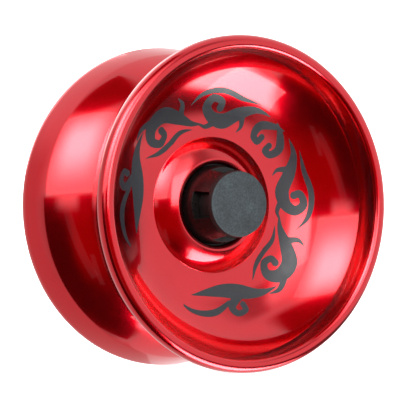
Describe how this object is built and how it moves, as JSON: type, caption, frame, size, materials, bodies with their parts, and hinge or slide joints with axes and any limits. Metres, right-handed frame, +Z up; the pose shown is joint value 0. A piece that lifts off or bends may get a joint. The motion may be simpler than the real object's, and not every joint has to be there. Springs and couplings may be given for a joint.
{
  "type": "yo-yo",
  "caption": "Ball-bearing yo-yo: two cupped metal halves with black hub posts on a threaded axle, one half unscrewing to reach the bearing and pads.",
  "frame": {"origin": "middle of the string gap, on the axle", "axes": "+Y along the axle towards the half that unscrews, +Z up, the front cup opens towards -Y"},
  "size_m": [0.055, 0.0286, 0.055],
  "materials": {
    "anodised": "glossy red anodised aluminium",
    "hub_plastic": "moulded near-black plastic",
    "cap_plastic": "matte dark grey plastic",
    "silicone": "soft off-white silicone",
    "plated_steel": "zinc-plated steel",
    "bearing_steel": "polished steel",
    "brass": "turned brass"
  },
  "bodies": {
    "bearing_outer": {"bearing_outer_race": "bearing_steel", "shield_front": "plated_steel", "shield_back": "plated_steel", "snap_ring_front": "bearing_steel", "snap_ring_back": "bearing_steel"},
    "ball_cage": {"ball_cage": "brass", "ball_1": "bearing_steel", "ball_2": "bearing_steel", "ball_3": "bearing_steel", "ball_4": "bearing_steel", "ball_5": "bearing_steel", "ball_6": "bearing_steel", "ball_7": "bearing_steel", "ball_8": "bearing_steel"},
    "rotor": {"shell_front": "anodised", "hub_core_front": "hub_plastic", "hub_cap_front": "cap_plastic", "response_pad_front": "silicone", "axle_nut_front": "plated_steel", "axle_stud": "plated_steel", "spacer_front": "brass", "bearing_inner_race": "bearing_steel"},
    "loose_spacer": {"spacer_back": "brass"},
    "back_half": {"shell_back": "anodised", "hub_core_back": "hub_plastic", "hub_cap_back": "cap_plastic", "response_pad_back": "silicone", "axle_nut_back": "plated_steel"}
  },
  "joints": [
    {"name": "rotor_spin", "type": "hinge", "parent": "bearing_outer", "child": "rotor", "pos_m": [0, 0, 0], "axis": [0, 1, 0], "continuous": true},
    {"name": "cage_spin", "type": "hinge", "parent": "bearing_outer", "child": "ball_cage", "pos_m": [0, 0, 0], "axis": [0, 1, 0], "continuous": true},
    {"name": "unscrew_turn", "type": "hinge", "parent": "rotor", "child": "loose_spacer", "pos_m": [0, 0, 0], "axis": [0, 1, 0], "range_deg": [0, 1950]},
    {"name": "unscrew_travel", "type": "slide", "parent": "loose_spacer", "child": "back_half", "axis": [0, 1, 0], "range_m": [0, 0.0038]}
  ],
  "couplings": [
    {"joint": "cage_spin", "follows": "rotor_spin", "ratio": 0.395},
    {"joint": "unscrew_travel", "follows": "unscrew_turn", "m_per_rad": 0.00011141}
  ]
}
